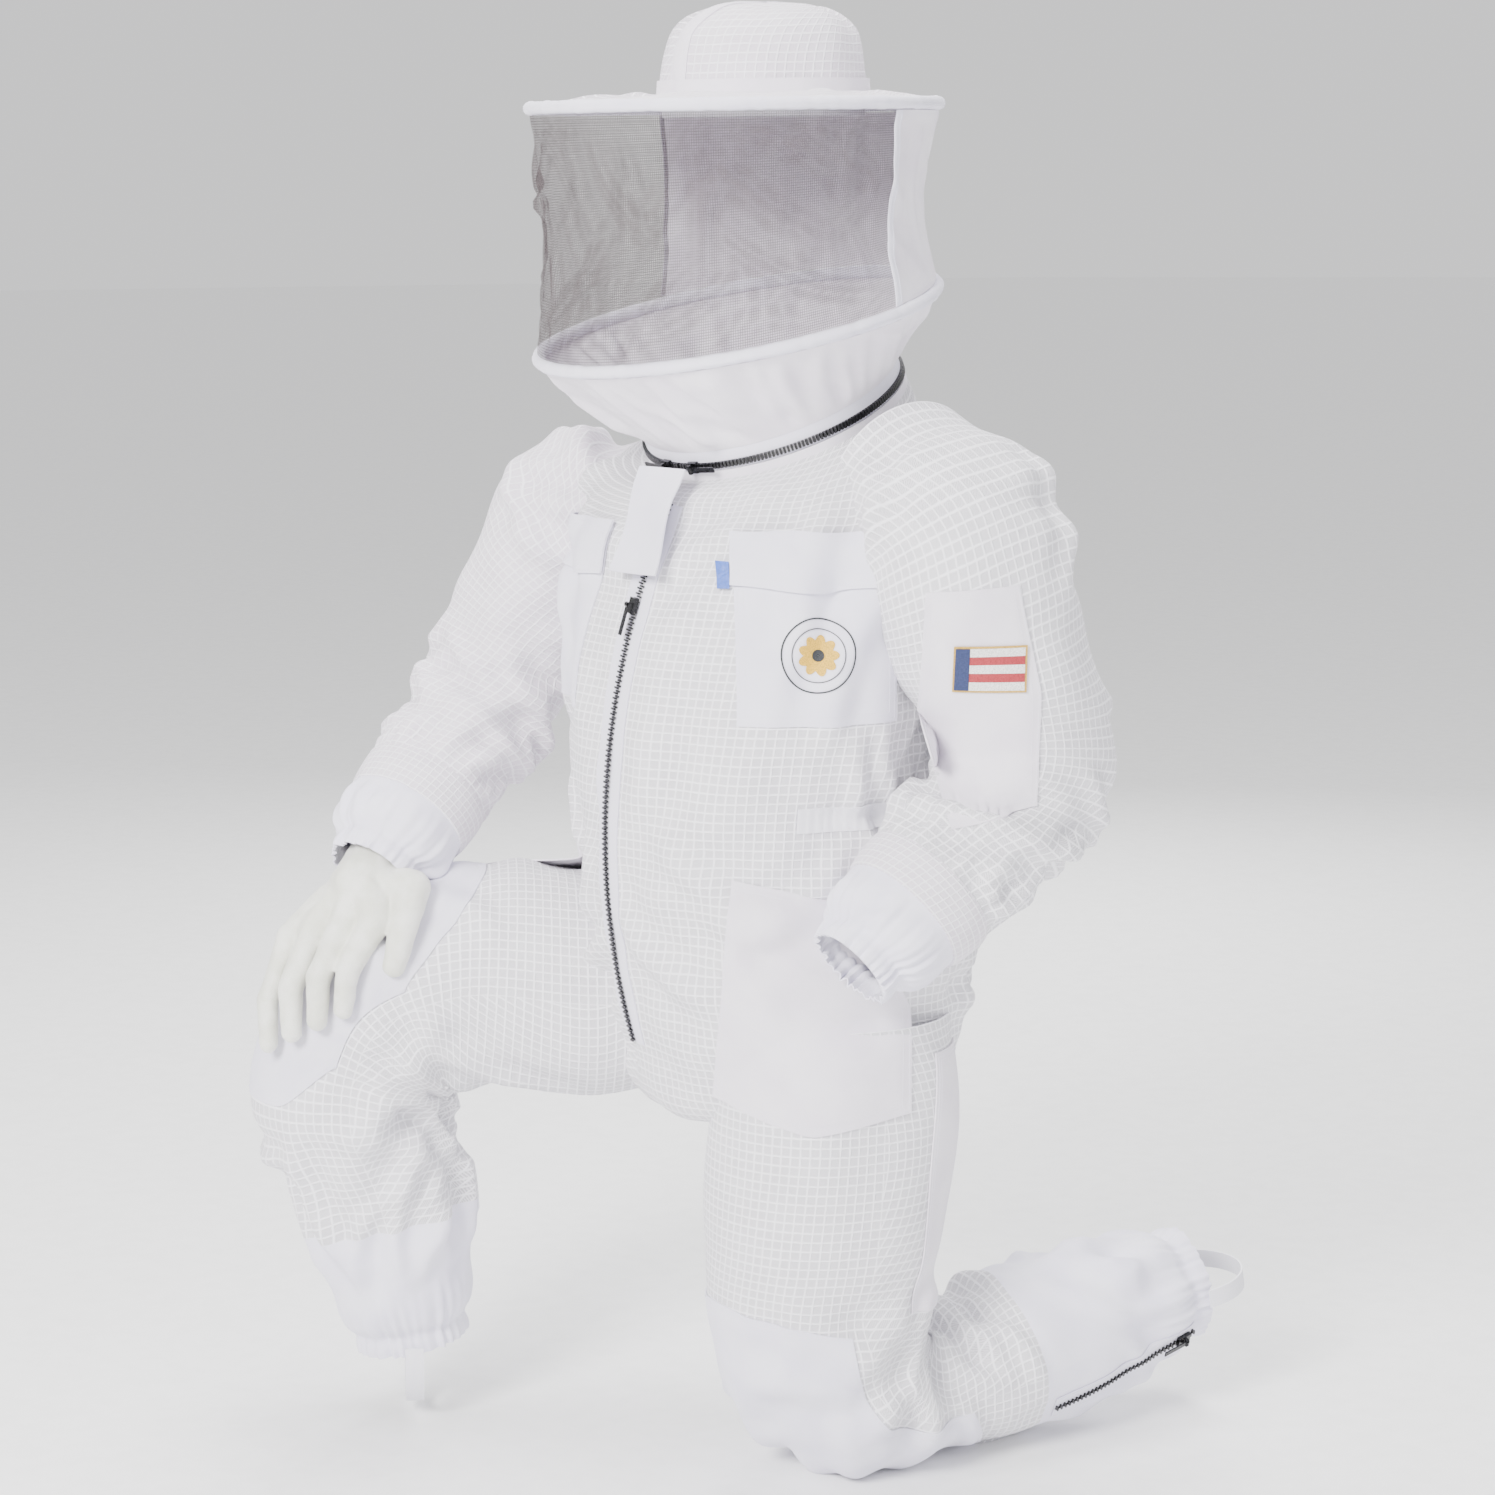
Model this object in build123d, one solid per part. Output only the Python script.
"""Ventilated beekeeping suit with a round veil hood, shaped as it sits on a wearer who kneels on one knee.

The suit is laid out from the ground up: heights are above the ground that the left knee rests on, +X is the
wearer's left and -Y the wearer's front. Every sub-part is then moved so that the origin is the centre of the
neck opening, where the hood zips on. All sizes are in millimetres.
"""

from build123d import *
from functools import lru_cache
import math
import os

os.makedirs("parts", exist_ok=True)

# ---------------------------------------------------------------- cloth and trim thicknesses
MESH_CLOTH = 4.0          # three-layer ventilated mesh
GAP = 0.4                 # air between a sewn-on piece and the cloth under it
COTTON = 1.6              # cotton twill patches, pockets and flaps
TAPE = 1.0                # zip tape
VEIL_CLOTH = 1.0          # veil netting with its folds

# ---------------------------------------------------------------- coverall sizes
CHEST_HALF_WIDTH = 202.0
WAIST_HALF_WIDTH = 188.0
HIP_HALF_WIDTH = 197.0
SHOULDER_HEIGHT = 925.0
CROTCH_HEIGHT = 335.0
THIGH_RADIUS = 112.0
UPPER_ARM_RADIUS = 92.0
WRIST_RADIUS = 41.0
ANKLE_RADIUS = 54.0
ELASTIC_WIDTH = 15.0
CUFF_LENGTH = 82.0        # cotton end of a sleeve, from its wide seam to the wrist
BAND_WIDTH = 42.0         # doubled mesh band above it

# ---------------------------------------------------------------- hood sizes
HOOP_RADIUS = 190.0       # centre line of the hoop under the veil
BRIM_RADIUS = 190.0       # centre line of the hoop at the edge of the hat brim
PIPING_RADIUS = 6.5
CROWN_RADIUS = 98.0
CROWN_HEIGHT = 82.0
BAND_RADIUS = 93.0        # inside of the head band
NECK_RADIUS = 128.0
COLLAR_HEIGHT = 14.0
TEETH = 2.4               # height of one row of zip teeth
RUNNING = 0.6             # clearance between a slider or strap and what it moves along
FLAP_STAND = 16.5         # how far the loose neck flap stands off the chest, over the front zip

# ---------------------------------------------------------------- places, from the ground up
NECK_CENTRE = Vector(5, -20, 1005)
NECK_TURN = 15.0
NECK_TILT = 24.0
HOOP_CENTRE = Vector(0, -55, 1085)
HOOP_TURN = 9.0
HOOP_TILT = 13.0
BRIM_CENTRE = Vector(0, -58, 1283)
BRIM_TILT = 1.0
CROWN_SETBACK = 34.0      # the crown sits behind the middle of the brim


def heading(turn, tilt=0.0):
    """Across, back and up of a ring that faces `turn` degrees left of straight ahead, tilted forward."""
    t, k = math.radians(turn), math.radians(tilt)
    across = Vector(math.cos(t), math.sin(t), 0)
    back = Vector(-math.sin(t) * math.cos(k), math.cos(t) * math.cos(k), math.sin(k))
    return across, back, across.cross(back)


def ring_plane(centre, turn=0.0, tilt=0.0, lift=0.0):
    across, _, up = heading(turn, tilt)
    return Plane(origin=centre + up * lift, x_dir=across, z_dir=up)


def form(rings, grow=0.0, straight=False):
    """Solid through rings of (plane, half width, half depth), all grown by the same amount."""
    return loft([plane * Ellipse(wide + grow, deep + grow) for plane, wide, deep in rings], ruled=straight)


def beyond(plane, size=3000.0):
    """A block that fills the side of a plane that its normal points to."""
    return plane * Box(size, size, size, align=(Align.CENTER, Align.CENTER, Align.MIN))


def wedge(outline, plane, near, far):
    """The outline, drawn on a plane, made into a block from `near` to `far` along the plane's normal."""
    face = make_face(Polyline(*outline, close=True))
    return plane.offset(near) * extrude(face, far - near, dir=(0, 0, 1))


def box_on(plane, wide, long, thick, lift=0.0):
    """A block centred on a plane whose Z points outward, standing `lift` above it."""
    return plane.offset(lift) * Box(wide, long, thick, align=(Align.CENTER, Align.CENTER, Align.MIN))


def shifted(plane, across):
    """The same plane, moved along its X."""
    return Plane(origin=plane.from_local_coords(Vector(across, 0, 0)), x_dir=plane.x_dir, z_dir=plane.z_dir)


def save(name, shape):
    """Moves a sub-part so that the neck centre is the origin, and writes it."""
    solids = [s for s in shape.solids() if s.volume > 1.0]
    whole = Compound(children=[s.moved(Location(-NECK_CENTRE)) for s in solids])
    whole = whole if len(solids) > 1 else solids[0].moved(Location(-NECK_CENTRE))
    export_step(whole, f"parts/{name}.step")
    print(name, len(solids), round(sum(s.volume for s in solids) / 1000, 1))


# ================================================================ torso of the coverall
# The front zip follows one large arc that leans with the chest, so the slider can turn about its centre.
ARC_RADIUS = 745.0
ARC_CENTRE = Vector(23, 541, 640)
ARC_LEAN = 5.5
lean = math.radians(ARC_LEAN)
ARC_UP = Vector(math.sin(lean), 0, math.cos(lean))
ARC_AXIS = Vector(math.cos(lean), 0, -math.sin(lean))
ZIP_LOW = -18.5           # degrees round the arc, from straight ahead
ZIP_HIGH = 22.5
FRONT = Vector(0, -1, 0)


def on_arc(degrees, lift=0.0):
    a = math.radians(degrees)
    return ARC_CENTRE + (FRONT * math.cos(a) + ARC_UP * math.sin(a)) * (ARC_RADIUS + lift)


def reach(plane, wide):
    """Half depth that makes a ring of the torso meet the arc of the front zip."""
    low, high = -35.0, 40.0
    for _ in range(50):
        middle = (low + high) / 2
        if (on_arc(middle) - plane.origin).dot(plane.z_dir) > 0:
            high = middle
        else:
            low = middle
    local = on_arc(low) - plane.origin
    return abs(local.dot(plane.y_dir)) / math.sqrt(1 - (local.dot(plane.x_dir) / wide) ** 2)


def torso_rings(lift):
    """Rings from the crotch to the foot of the collar; `lift` raises the lowest one, for the inside."""
    widths = [
        (ring_plane(Vector(0, 0, CROTCH_HEIGHT + lift)), HIP_HALF_WIDTH - 47),
        (ring_plane(Vector(0, -5, 400)), HIP_HALF_WIDTH - 12),
        (ring_plane(Vector(0, -12, 500), 3), HIP_HALF_WIDTH),
        (ring_plane(Vector(0, -32, 610), 7), WAIST_HALF_WIDTH),
        (ring_plane(Vector(0, -42, 720), 11), WAIST_HALF_WIDTH + 2),
        (ring_plane(Vector(0, -36, 840), 17, 4), CHEST_HALF_WIDTH - 4),
        (ring_plane(Vector(0, -26, SHOULDER_HEIGHT), 22, 10), CHEST_HALF_WIDTH),
        (ring_plane(Vector(2, -24, SHOULDER_HEIGHT + 43), 20, 17), CHEST_HALF_WIDTH - 37),
    ]
    collar = (ring_plane(NECK_CENTRE, NECK_TURN, NECK_TILT, -COLLAR_HEIGHT), NECK_RADIUS, NECK_RADIUS)
    return [(plane, wide, reach(plane, wide)) for plane, wide in widths] + [collar]


@lru_cache(maxsize=None)
def torso_form(grow, lift=0.0):
    return form(torso_rings(lift), grow, straight=True)


def over_torso(near, far, region):
    """A patch that lies on the torso between two distances from it, wherever `region` covers it."""
    return (torso_form(far) & region) - torso_form(near)


def facing(degrees, lift=0.0):
    """Upright plane through the middle of the body that faces `degrees` left of straight ahead."""
    t = math.radians(degrees)
    return Plane(origin=Vector(0, 0, lift), x_dir=Vector(math.cos(t), math.sin(t), 0),
                 z_dir=Vector(math.sin(t), -math.cos(t), 0))


zip_plane = Plane(origin=Vector(0, 0, 400), x_dir=ARC_AXIS, z_dir=FRONT)

# ================================================================ sleeves and legs as tubes


def tube_rings(points, start, end):
    """Rings square to a path of (place, radius); `start` and `end` are the directions at its two ends."""
    rings = []
    for i, (place, radius) in enumerate(points):
        into = points[i][0] - points[i - 1][0] if i else start
        out = points[i + 1][0] - points[i][0] if i + 1 < len(points) else end
        along = (into.normalized() + out.normalized()).normalized()
        side = Vector(0, 1, 0) - along * along.Y
        rings.append((Plane(origin=place, x_dir=side, z_dir=along), radius, radius))
    return rings


arm_paths = {
    "left": [
        (Vector(128, 50, SHOULDER_HEIGHT + 15), UPPER_ARM_RADIUS - 12),
        (Vector(CHEST_HALF_WIDTH - 7, 61, SHOULDER_HEIGHT - 20), UPPER_ARM_RADIUS + 1),
        (Vector(214, 95, 790), UPPER_ARM_RADIUS - 2),
        (Vector(220, 128, 668), UPPER_ARM_RADIUS - 11),
        (Vector(230, 42, 592), UPPER_ARM_RADIUS - 22),
        (Vector(237, -22, 545), WRIST_RADIUS + 18),
        (Vector(240, -66, 512), WRIST_RADIUS),
    ],
    "right": [
        (Vector(-138, -88, SHOULDER_HEIGHT + 13), UPPER_ARM_RADIUS - 14),
        (Vector(7 - CHEST_HALF_WIDTH, -121, SHOULDER_HEIGHT - 27), UPPER_ARM_RADIUS - 6),
        (Vector(-240, -160, 800), UPPER_ARM_RADIUS - 15),
        (Vector(-268, -196, 705), UPPER_ARM_RADIUS - 21),
        (Vector(-240, -270, 632), UPPER_ARM_RADIUS - 28),
        (Vector(-214, -328, 577), WRIST_RADIUS + 14),
        (Vector(-200, -354, 553), WRIST_RADIUS),
    ],
}
arm_starts = {"left": Vector(1, 0.1, -0.4), "right": Vector(-1, -0.35, -0.4)}


@lru_cache(maxsize=None)
def arm_form(side, grow):
    path = arm_paths[side]
    return form(tube_rings(path, arm_starts[side], path[-1][0] - path[-2][0]), grow, straight=True)


def wrist_plane(side, back=0.0):
    """Plane square to the end of the sleeve, `back` up the arm from it, looking towards the hand."""
    path = arm_paths[side]
    way = (path[-1][0] - path[-2][0]).normalized()
    return Plane(origin=path[-1][0] - way * back, x_dir=Vector(0, 0, 1).cross(way), z_dir=way)


RIGHT_HIP = Vector(-90, 0, 434)
RIGHT_KNEE_BACK = Vector(-196, -267, 325)      # crease behind the raised right knee
LEFT_KNEE_BACK = Vector(112, 75, 140)          # crease behind the left knee, which is on the ground
CREASE = 14.0
UP = Vector(0, 0, 1)
BACK = Vector(0, 1, 0)
LEFT = Vector(1, 0, 0)
THIGH_WAY = Vector(-0.37, -0.93, 0).normalized()
THIGH_ACROSS = Vector(0.93, -0.37, 0).normalized()
SHIN_WAY = Vector(0, 1, 0.15).normalized()


def at_thigh(ahead, across, height):
    """A place given along and across the raised right thigh, and by its height."""
    place = RIGHT_HIP + THIGH_WAY * ahead + THIGH_ACROSS * across
    return Vector(place.X, place.Y, height)


def knee_ring(crease, start_way, end_way, angle, across, wide, deep):
    """A ring that stands on the crease behind a bent knee, `angle` degrees round it."""
    a = math.radians(angle)
    out = start_way * math.cos(a) + end_way * math.sin(a)
    return (Plane(origin=crease + out * (CREASE + deep), x_dir=across, z_dir=across.cross(out)), wide, deep)


right_bend = (RIGHT_KNEE_BACK, UP, THIGH_WAY)
left_bend = (LEFT_KNEE_BACK, -BACK, -UP)
shin_rings = {
    "right": [
        (Plane(origin=at_thigh(364, 0, 230), x_dir=THIGH_ACROSS, z_dir=-UP),
         ANKLE_RADIUS + 28, ANKLE_RADIUS + 28),
        (Plane(origin=at_thigh(334, -12, 70), x_dir=THIGH_ACROSS, z_dir=-UP), ANKLE_RADIUS, ANKLE_RADIUS),
    ],
    "left": [
        (Plane(origin=Vector(112, 170, 79), x_dir=LEFT, z_dir=SHIN_WAY),
         ANKLE_RADIUS + 32, ANKLE_RADIUS + 22),
        (Plane(origin=Vector(112, 388, 121), x_dir=LEFT, z_dir=SHIN_WAY), ANKLE_RADIUS, ANKLE_RADIUS),
    ],
}
thigh_rings = {
    "right": [
        (Plane(origin=at_thigh(25, 0, 434), x_dir=THIGH_ACROSS, z_dir=THIGH_WAY),
         THIGH_RADIUS, THIGH_RADIUS - 4),
        (Plane(origin=at_thigh(165, 0, 434), x_dir=THIGH_ACROSS, z_dir=THIGH_WAY),
         THIGH_RADIUS, THIGH_RADIUS),
        knee_ring(*right_bend, 0, THIGH_ACROSS, THIGH_RADIUS - 7, THIGH_RADIUS - 9),
        knee_ring(*right_bend, 45, THIGH_ACROSS, THIGH_RADIUS - 12, THIGH_RADIUS - 12),
        knee_ring(*right_bend, 90, THIGH_ACROSS, THIGH_RADIUS - 14, THIGH_RADIUS - 21),
    ],
    "left": [
        (Plane(origin=Vector(100, -5, 440), x_dir=LEFT, z_dir=-UP), THIGH_RADIUS - 6, THIGH_RADIUS),
        (Plane(origin=Vector(104, -12, 330), x_dir=LEFT, z_dir=-UP), THIGH_RADIUS, THIGH_RADIUS + 6),
        (Plane(origin=Vector(108, -24, 230), x_dir=LEFT, z_dir=-UP), THIGH_RADIUS - 2, THIGH_RADIUS),
        knee_ring(*left_bend, 0, LEFT, THIGH_RADIUS - 6, THIGH_RADIUS - 17),
        knee_ring(*left_bend, 45, LEFT, THIGH_RADIUS - 14, THIGH_RADIUS - 26),
        knee_ring(*left_bend, 90, LEFT, THIGH_RADIUS - 20, THIGH_RADIUS - 49),
    ],
}


@lru_cache(maxsize=None)
def leg_form(side, grow):
    return form(thigh_rings[side] + shin_rings[side], grow, straight=True)


# ================================================================ coverall: front and back panels
shell = torso_form(0.0) - torso_form(-MESH_CLOTH, MESH_CLOTH)
for side in ("left", "right"):
    shell -= leg_form(side, -MESH_CLOTH)
    shell -= arm_form(side, -MESH_CLOTH)

side_seams = Plane(origin=Vector(0, -30, 0), x_dir=Vector(0, 0, 1), z_dir=Vector(0.21, -0.978, 0))
front_half = split(shell, bisect_by=side_seams, keep=Keep.TOP)
zip_gap = wedge([(-4, 0), (4, 0), (4, 640), (-4, 640)], zip_plane, 20, 400)
zip_line = Plane(origin=Vector(0, 0, 400), z_dir=ARC_AXIS)
save("back_panel", split(shell, bisect_by=side_seams, keep=Keep.BOTTOM))
save("front_panel_left", split(front_half, bisect_by=zip_line, keep=Keep.TOP) - zip_gap)
save("front_panel_right", split(front_half, bisect_by=zip_line, keep=Keep.BOTTOM) - zip_gap)

# ---------------------------------------------------------------- front zip
tape_top = 548
strips = wedge([(-17, 0), (17, 0), (17, tape_top), (-17, tape_top)], zip_plane, 20, 400)
strips -= wedge([(-3.2, -5), (3.2, -5), (3.2, tape_top + 5), (-3.2, tape_top + 5)], zip_plane, 15, 410)
save("front_zip_tape", over_torso(GAP, GAP + TAPE, strips))


def arc_band(half_width, near, far, low, high):
    """A strip that follows the arc of the front zip, between two distances from the cloth."""
    inner, outer = ARC_RADIUS + near, ARC_RADIUS + far
    across = Plane(origin=ARC_CENTRE - ARC_AXIS * half_width, x_dir=FRONT, z_dir=ARC_AXIS)
    reachable = across * extrude(Circle(outer) - Circle(inner), 2 * half_width)
    sides = [(0, 0)]
    for degrees in (low, (low + high) / 2, high):
        a = math.radians(degrees)
        sides.append((1200 * math.cos(a), -1200 * math.sin(a)))
    if across.y_dir.dot(ARC_UP) > 0:
        sides = [(x, -y) for x, y in sides]
    return reachable & wedge(sides, across, -5, 2 * half_width + 5)


save("front_zip_teeth", arc_band(2.9, 2.0, 2.0 + TEETH, ZIP_LOW, ZIP_HIGH))


# ---------------------------------------------------------------- zip sliders and their pulls
def slider_parts(plane, length=15.0):
    """Slider and pull at the top of the teeth: X across the zip, Y the way it closes, Z outward."""
    plate = box_on(plane, 10.4, length, 2.4, RUNNING)
    for sign in (-1, 1):
        edge = shifted(plane, 4.5 * sign)
        plate += box_on(edge, 1.4, length, TEETH + RUNNING, -TEETH + 1.1)
        post = shifted(plane, 3.7 * sign)
        plate += box_on(post, 1.2, 3.0, 5.0, RUNNING + 2.0)
    middle = plane.from_local_coords(Vector(0, 0, RUNNING + 5.6))
    bar = Plane(origin=middle, x_dir=plane.y_dir, z_dir=plane.x_dir)
    plate += bar * Cylinder(0.9, 7.4)
    eye = bar * Cylinder(2.5, 5.0)
    leaf = Plane(origin=middle - plane.y_dir * 15.5, x_dir=plane.x_dir, z_dir=plane.z_dir)
    pull = eye + box_on(leaf, 5.0, 27.0, 1.4, -0.7)
    pull -= bar * Cylinder(1.5, 9.0)
    return plate, pull


def arc_slider(degrees):
    a = math.radians(degrees)
    out = FRONT * math.cos(a) + ARC_UP * math.sin(a)
    along = ARC_UP * math.cos(a) - FRONT * math.sin(a)
    return Plane(origin=on_arc(degrees, 2.0 + TEETH), x_dir=along.cross(out), z_dir=out)


FRONT_SLIDER_AT = 14.5
plate, pull = slider_parts(arc_slider(FRONT_SLIDER_AT))
save("front_slider", plate)
save("front_pull", pull)

# ================================================================ neck zip
neck = ring_plane(NECK_CENTRE, NECK_TURN, NECK_TILT)


def neck_ring(inner, outer, low, high):
    return neck.offset(low) * extrude(Circle(outer) - Circle(inner), high - low)


TAPE_IN = 3.4             # the tape lies this far inside the tips of the teeth
save("neck_tape_coverall",
     neck_ring(NECK_RADIUS - TAPE_IN, NECK_RADIUS - TAPE_IN + 1.2, -COLLAR_HEIGHT, -2.6))
save("neck_teeth_coverall", neck_ring(NECK_RADIUS - TAPE_IN, NECK_RADIUS + 0.2, -2.6, -0.3))
save("neck_teeth_hood", neck_ring(NECK_RADIUS - TAPE_IN, NECK_RADIUS + 0.2, 0.3, 2.6))
save("neck_tape_hood", neck_ring(NECK_RADIUS - TAPE_IN, NECK_RADIUS - TAPE_IN + 1.2, 2.6, COLLAR_HEIGHT))


def neck_slider(degrees, closing):
    """Plane on the neck zip, `degrees` round it from the front towards the wearer's left."""
    t = math.radians(degrees)
    out = neck.x_dir * math.sin(t) - neck.y_dir * math.cos(t)
    along = neck.z_dir.cross(out) * closing
    return Plane(origin=neck.origin + out * (NECK_RADIUS + 0.2), x_dir=along.cross(out), z_dir=out)


for side, degrees, closing in (("left", 8.0, -1), ("right", -8.0, 1)):
    plate, pull = slider_parts(neck_slider(degrees, closing), length=11.0)
    save(f"neck_slider_{side}", plate)
    save(f"neck_pull_{side}", pull)

# ================================================================ hood
hoop = ring_plane(HOOP_CENTRE, HOOP_TURN, HOOP_TILT)
brim_level = ring_plane(BRIM_CENTRE, HOOP_TURN, BRIM_TILT)
crown_level = ring_plane(BRIM_CENTRE + heading(HOOP_TURN)[1] * CROWN_SETBACK + UP * 12, HOOP_TURN, BRIM_TILT)
veil_top = (brim_level.offset(-PIPING_RADIUS - 0.2), BRIM_RADIUS, BRIM_RADIUS)
veil_foot = (hoop.offset(PIPING_RADIUS + 0.2), HOOP_RADIUS, HOOP_RADIUS)

save("veil_hoop", hoop * Torus(HOOP_RADIUS, PIPING_RADIUS))
save("brim_hoop", brim_level * Torus(BRIM_RADIUS, PIPING_RADIUS))

netting = form([veil_foot, veil_top], straight=True) - form([veil_foot, veil_top], -VEIL_CLOTH, straight=True)
turn = math.radians(15)
rear = [(0, 0), (600 * math.cos(turn), 600 * math.sin(turn)), (600, 600), (-600, 600),
        (-600 * math.cos(turn), 600 * math.sin(turn))]
rear_sector = wedge(rear, ring_plane(HOOP_CENTRE, HOOP_TURN), -150, 300)
save("veil_screen", netting - rear_sector)
save("veil_back_panel", netting & rear_sector)

yoke_rings = [
    (hoop.offset(-PIPING_RADIUS - 0.2), HOOP_RADIUS - 1, HOOP_RADIUS - 1),
    (ring_plane(Vector(3, -37, 1042), 12, 19), NECK_RADIUS + 22, NECK_RADIUS + 22),
    (neck.offset(COLLAR_HEIGHT), NECK_RADIUS - 1.8, NECK_RADIUS - 1.8),
]
save("hood_yoke", form(yoke_rings) - form(yoke_rings, -COTTON))

BRIM_EDGE = BRIM_RADIUS - PIPING_RADIUS - 0.3
STRAW = 2.5
cone = [(brim_level, BRIM_EDGE, BRIM_EDGE), (crown_level, CROWN_RADIUS, CROWN_RADIUS)]
low_cone = [(plane.offset(-STRAW), wide, deep) for plane, wide, deep in cone]
brim = form(cone, straight=True) - form(low_cone, straight=True)
brim -= crown_level * Cylinder(CROWN_RADIUS - STRAW, 60)
save("hat_brim", brim)

dome = [(0, CROWN_HEIGHT), (CROWN_RADIUS * 0.45, CROWN_HEIGHT - 3), (CROWN_RADIUS * 0.82, CROWN_HEIGHT - 17),
        (CROWN_RADIUS * 0.96, CROWN_HEIGHT * 0.45), (CROWN_RADIUS, 0)]
scale = (CROWN_RADIUS - STRAW) / CROWN_RADIUS
lining = [(x * scale, z - STRAW if z > 0 else 0) for x, z in dome]


def turned(points):
    curve = Spline(*[Vector(x, 0, z) for x, z in points], tangents=[Vector(1, 0, 0), Vector(0.05, 0, -1)])
    foot = Polyline(Vector(points[-1][0], 0, 0), Vector(0, 0, 0), Vector(0, 0, points[0][1]))
    return revolve(make_face([*curve.edges(), *foot.edges()]), Axis.Z)


save("hood_crown", crown_level * (turned(dome) - turned(lining)))
save("sweat_band", crown_level.offset(-22) * extrude(Circle(BAND_RADIUS + 1.8) - Circle(BAND_RADIUS), 28))

# ---------------------------------------------------------------- loose flap over the meeting of the zips
FLAP_AT = 20.5            # degrees round the arc of the front zip
FLAP_WIDTH = 66.0
FLAP_LENGTH = 102.0
rise = math.radians(FLAP_AT)
turn = math.radians(NECK_TURN)
flap_out = Vector(math.sin(turn) * math.cos(rise), -math.cos(turn) * math.cos(rise), math.sin(rise))
flap_face = Plane(origin=on_arc(FLAP_AT, FLAP_STAND), x_dir=neck.x_dir, z_dir=flap_out)
flap = box_on(flap_face, FLAP_WIDTH, FLAP_LENGTH, COTTON)
seam = neck.origin + neck.z_dir * (COLLAR_HEIGHT + 1.5) - neck.y_dir * (NECK_RADIUS + 1.0)
edge = flap_face.from_local_coords(Vector(0, FLAP_LENGTH / 2 - 0.8, COTTON / 2))
seam = Vector(edge.X, edge.Y, edge.Z) + (seam - edge) - neck.x_dir * (seam - edge).dot(neck.x_dir)
hem_way = seam - edge
hem_face = Plane(origin=(seam + edge) / 2, x_dir=neck.x_dir, z_dir=neck.x_dir.cross(hem_way))
flap += box_on(hem_face, FLAP_WIDTH, hem_way.length + 1.0, COTTON, -COTTON / 2)
save("neck_flap", flap)

# ================================================================ pockets, label and waist elastic


def block(plane, left, right, low, high):
    return wedge([(left, low), (right, low), (right, high), (left, high)], plane, 15, 500)


pocket_faces = {"left": facing(70), "right": facing(-26)}
POCKET_WIDTH = 148.0
POCKET_LOW = 725.0
POCKET_TOP = 900.0
FLAP_DEPTH = 50.0
for side, plane in pocket_faces.items():
    half = POCKET_WIDTH / 2 if side == "left" else POCKET_WIDTH / 2 - 10
    bag = block(plane, -half, half, POCKET_LOW, POCKET_TOP - 4) - arm_form(side, GAP)
    save(f"chest_pocket_{side}", over_torso(GAP, GAP + COTTON, bag))
    cover = block(plane, -half, half, POCKET_TOP - FLAP_DEPTH, POCKET_TOP) - arm_form(side, 24)
    save(f"chest_flap_{side}", over_torso(3.2, 3.2 + COTTON, cover))

left_hip = [(-53, 582), (37, 564), (62, 520), (100, 480), (112, 455), (112, 361), (20, 345), (-71, 370)]
right_hip = [(53, 582), (-37, 564), (-62, 520), (-100, 480), (-112, 455), (71, 455)]
for side, outline, plane in (("left", left_hip, facing(62)), ("right", right_hip, facing(-56))):
    bag = wedge(outline, plane, 15, 500) - leg_form(side, GAP)
    if side == "left":
        bag -= arm_form("left", 3.0)
    bag = over_torso(GAP, GAP + COTTON, bag)
    save(f"hip_pocket_{side}", bag)

belt = Pos(0, 0, 625) * Box(900, 900, 25, align=(Align.CENTER, Align.CENTER, Align.MIN))
turn = math.radians(62)
ahead = [(0, 0), (900 * math.sin(turn), -900 * math.cos(turn)), (900, -900), (-900, -900),
         (-900 * math.sin(turn), -900 * math.cos(turn))]
belt -= wedge(ahead, Plane.XY, 500, 800)
save("waist_elastic", over_torso(GAP, GAP + 2.2, belt) - arm_form("left", 4.0))

# ================================================================ sleeves
for side in ("left", "right"):
    def below(back):
        return beyond(wrist_plane(side, back))

    tube = arm_form(side, 0.0) - arm_form(side, -MESH_CLOTH)
    tube -= torso_form(0.0)
    save(f"sleeve_{side}", tube - below(CUFF_LENGTH))
    save(f"cuff_{side}", tube & below(CUFF_LENGTH))
    wrap = arm_form(side, 3.4) - arm_form(side, GAP) - torso_form(GAP)
    save(f"sleeve_band_{side}", (wrap & below(CUFF_LENGTH + BAND_WIDTH)) - below(CUFF_LENGTH + 1))
    wrap = arm_form(side, 2.4) - arm_form(side, GAP)
    save(f"cuff_elastic_{side}", wrap & below(ELASTIC_WIDTH))
    end = wrist_plane(side)

end = wrist_plane("right")
loop = Plane(origin=end.from_local_coords(Vector(0, -WRIST_RADIUS + 1.5, 0)),
             x_dir=end.x_dir, z_dir=end.y_dir)
save("thumb_loop_right", loop * (extrude(Circle(14) - Circle(11.4), 2.0) & Pos(0, -30, 0) * Box(60, 60, 10)))

panel_face = Plane(origin=Vector(213, 95, 700), x_dir=Vector(0.469, 0.883, 0), z_dir=Vector(0.883, -0.469, 0))
panel = [(-62, 152), (20, 158), (42, 60), (40, -45), (-38, -62), (-66, 30)]
panel = wedge(panel, panel_face, 0, 300)
save("arm_panel_left", (arm_form("left", 2.0) & panel) - arm_form("left", GAP))

# ================================================================ legs
leg_cuts = {"right": Plane(origin=Vector(0, 0, 205), z_dir=-UP),
            "left": Plane(origin=Vector(0, 175, 80), z_dir=SHIN_WAY)}
zip_angles = {"right": 180.0, "left": 32.0}


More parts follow.
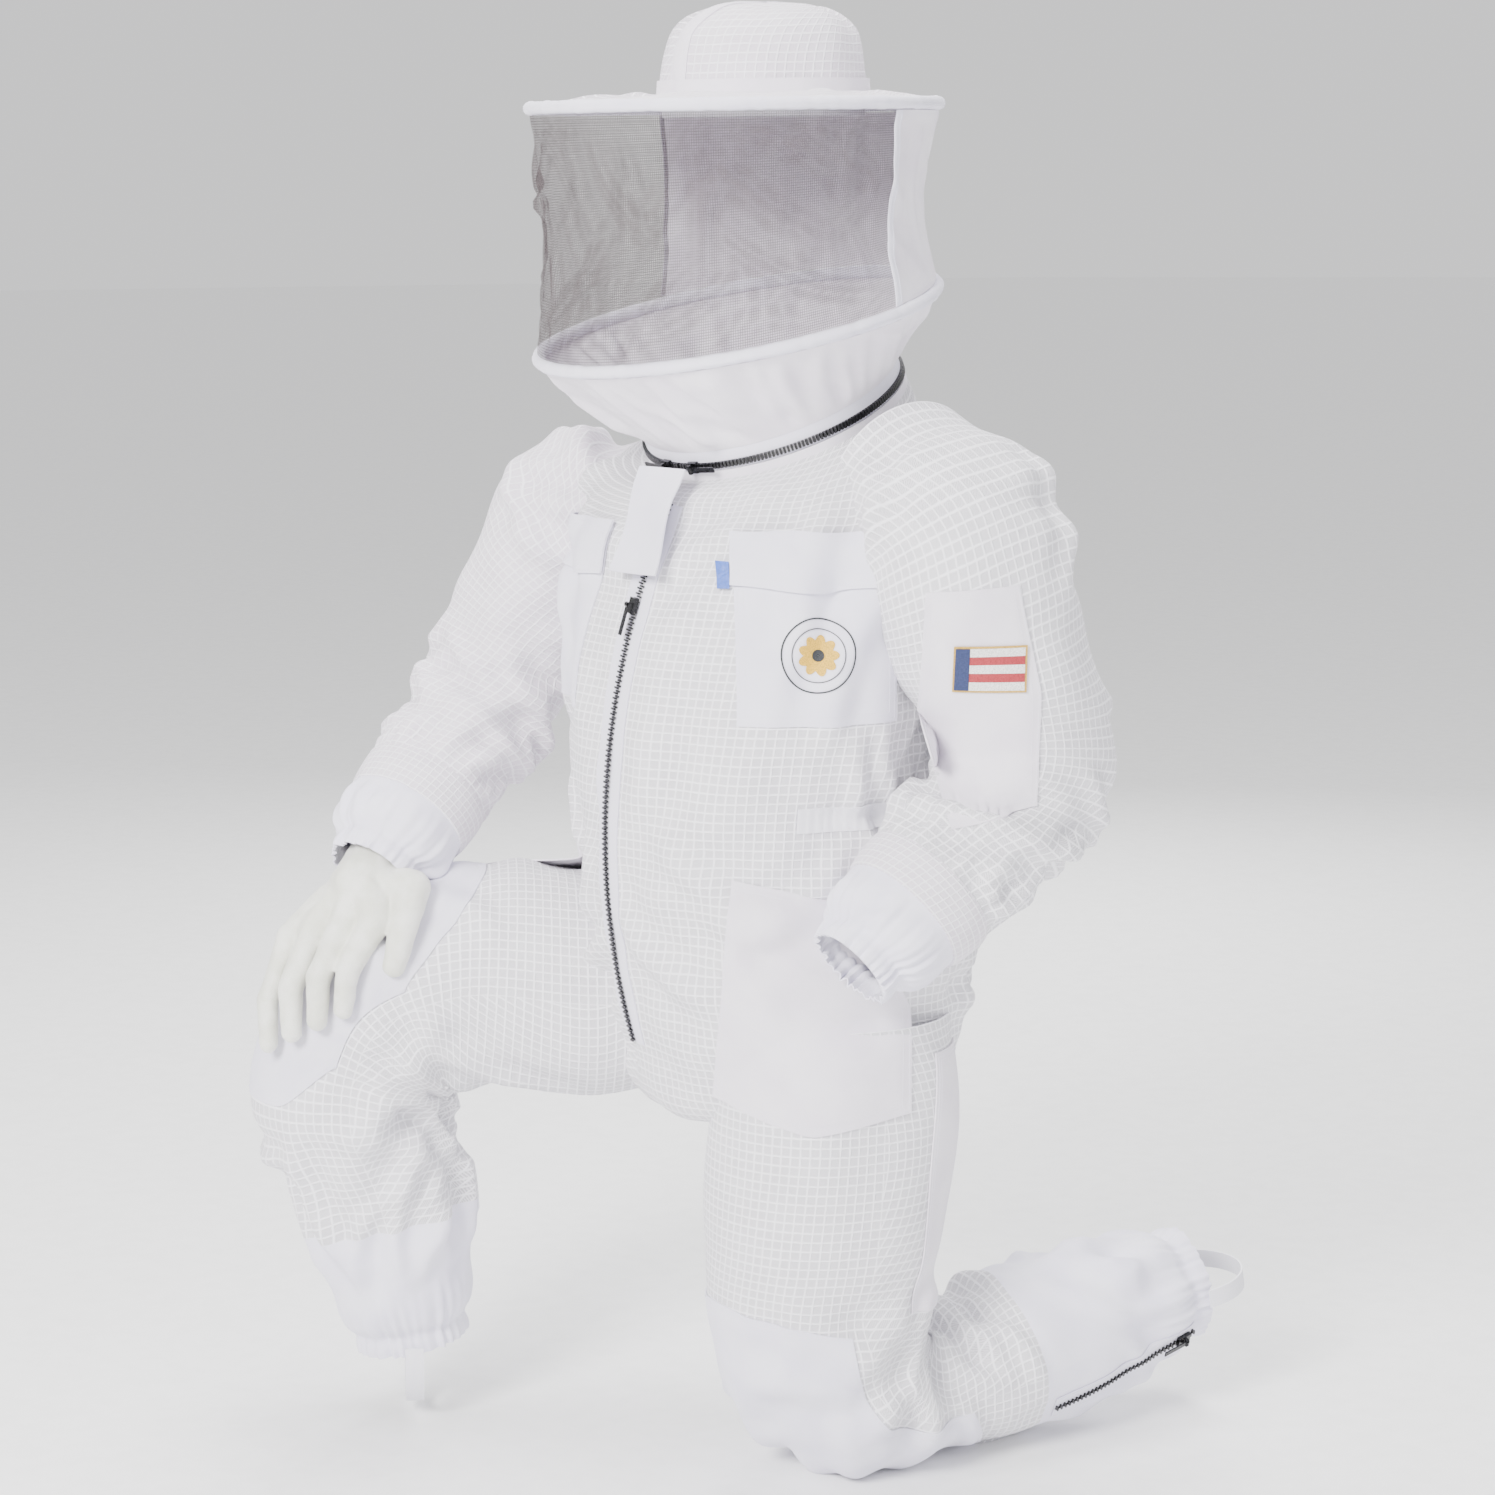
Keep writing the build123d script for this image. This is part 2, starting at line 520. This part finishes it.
def shin_line(side):
    """Plane at the middle of the leg zip: X across it, Y towards the ankle, Z outward."""
    a = math.radians(zip_angles[side])
    (top, wide, deep), (foot, wide_foot, deep_foot) = shin_rings[side]
    start = top.from_local_coords(Vector(wide * math.cos(a), deep * math.sin(a), 0))
    end = foot.from_local_coords(Vector(wide_foot * math.cos(a), deep_foot * math.sin(a), 0))
    along = (end - start).normalized()
    out = start - top.origin
    out = (out - along * out.dot(along)).normalized()
    return Plane(origin=(start + end) / 2, x_dir=along.cross(out), z_dir=out), (end - start).length


knee_regions = {
    "right": wedge([(225, 585), (262, 540), (400, 380), (455, 330), (560, 330), (560, 600), (225, 600)],
                   Plane(origin=Vector(-90, 0, 0), x_dir=THIGH_WAY, z_dir=-THIGH_ACROSS), -300, 300),
    "left": wedge([(-200, 190), (-20, 150), (60, 100), (150, -20), (-200, -20)],
                  Plane(origin=Vector(112, 0, 0), x_dir=BACK, z_dir=LEFT), -300, 300),
}
for side in ("right", "left"):
    tube = leg_form(side, 0.0) - leg_form(side, -MESH_CLOTH)
    tube -= torso_form(0.0)
    if side == "left":
        tube -= leg_form("right", 0.0)
    line, length = shin_line(side)
    run = length - 60
    shin = split(tube, bisect_by=leg_cuts[side], keep=Keep.TOP) - box_on(line, 8, run, 40, -20)
    save(f"leg_{side}", split(tube, bisect_by=leg_cuts[side], keep=Keep.BOTTOM))
    save(f"shin_{side}", shin)
    wrap = form(shin_rings[side], GAP + TAPE, straight=True) - form(shin_rings[side], GAP, straight=True)
    tapes = box_on(line, 34, run, 60, -30) - box_on(line, 4.4, run + 10, 60, -30)
    save(f"leg_zip_tape_{side}", wrap & tapes)
    save(f"leg_zip_teeth_{side}", box_on(line, 5.8, run, TEETH, 1.8))
    top = Plane(origin=line.from_local_coords(Vector(0, run / 2 - 12, 1.8 + TEETH)),
                x_dir=line.x_dir, z_dir=line.z_dir)
    plate, pull = slider_parts(top)
    save(f"leg_slider_{side}", plate)
    save(f"leg_pull_{side}", pull)
    foot, wide, deep = shin_rings[side][1]
    wrap = form(shin_rings[side], 2.4, straight=True) - form(shin_rings[side], GAP, straight=True)
    save(f"ankle_elastic_{side}", wrap & beyond(foot.offset(-ELASTIC_WIDTH - 2)))
    axis = Plane(origin=foot.origin - foot.z_dir * 9, x_dir=foot.x_dir, z_dir=foot.y_dir)
    inner = ANKLE_RADIUS + 2.4 + 5.0
    straight_part = 7.0
    bow = Circle(inner + 1.8) - Circle(inner)
    bow = Pos(0, straight_part, 0) * (bow & Pos(0, inner / 2 + 5) * Rectangle(4 * inner, inner + 10))
    strap = extrude(bow, 9, both=True)
    for sign in (-1, 1):
        strap += Pos(sign * (inner + 0.9), straight_part / 2 - 5, 0) * Box(1.8, straight_part + 12, 18)
    if axis.y_dir.dot(foot.z_dir) < 0:
        strap = strap.mirror(Plane.XZ)
    save(f"stirrup_{side}", axis * strap)
    patch = (leg_form(side, 2.0) & knee_regions[side]) - leg_form(side, GAP)
    save(f"knee_panel_{side}", patch - torso_form(2.0) - arm_form("right", 3.0))

# ================================================================ right glove
end = wrist_plane("right", -2.0)
across = THIGH_ACROSS - end.z_dir * THIGH_ACROSS.dot(end.z_dir)
palm_rings = [
    (Plane(origin=end.origin, x_dir=across, z_dir=end.z_dir), 35, 29),
    (Plane(origin=at_thigh(384, 28, 541), x_dir=across, z_dir=end.z_dir + THIGH_WAY * 0.3), 35, 27),
    (Plane(origin=at_thigh(402, 24, 529), x_dir=THIGH_ACROSS, z_dir=THIGH_WAY - UP * 0.6), 44, 20),
    (Plane(origin=at_thigh(438, 20, 501), x_dir=THIGH_ACROSS, z_dir=THIGH_WAY - UP * 1.2), 44, 14),
]
palm = form(palm_rings, straight=True)
hollow_rings = [*palm_rings[:3], (palm_rings[3][0].offset(-5), *palm_rings[3][1:])]


def finger(points, radius):
    joint = Sphere(radius + 0.2)
    tube = joint.moved(Location(points[0]))
    for a, b in zip(points, points[1:]):
        upright = (Align.CENTER, Align.CENTER, Align.MIN)
        rod = Plane(origin=a, z_dir=b - a) * Cylinder(radius, (b - a).length, align=upright)
        tube = tube + rod + joint.moved(Location(b))
    return tube


fingers = []
for i, shorter in enumerate((0, -6, -2, 8)):
    aside = 46 - 19.6 * i
    joints = [at_thigh(418, aside * 0.8 + 3, 514), at_thigh(459, aside, 479),
              at_thigh(471, aside, 432 + shorter)]
    fingers.append(finger(joints, 9.4))
thumb = finger([at_thigh(396, 44, 530), at_thigh(404, 82, 507), at_thigh(405, 96, 476)], 11.0)
glove = palm
for piece in [*fingers, thumb]:
    glove = glove + piece
save("glove_right", glove - form(hollow_rings, -1.8, straight=True))
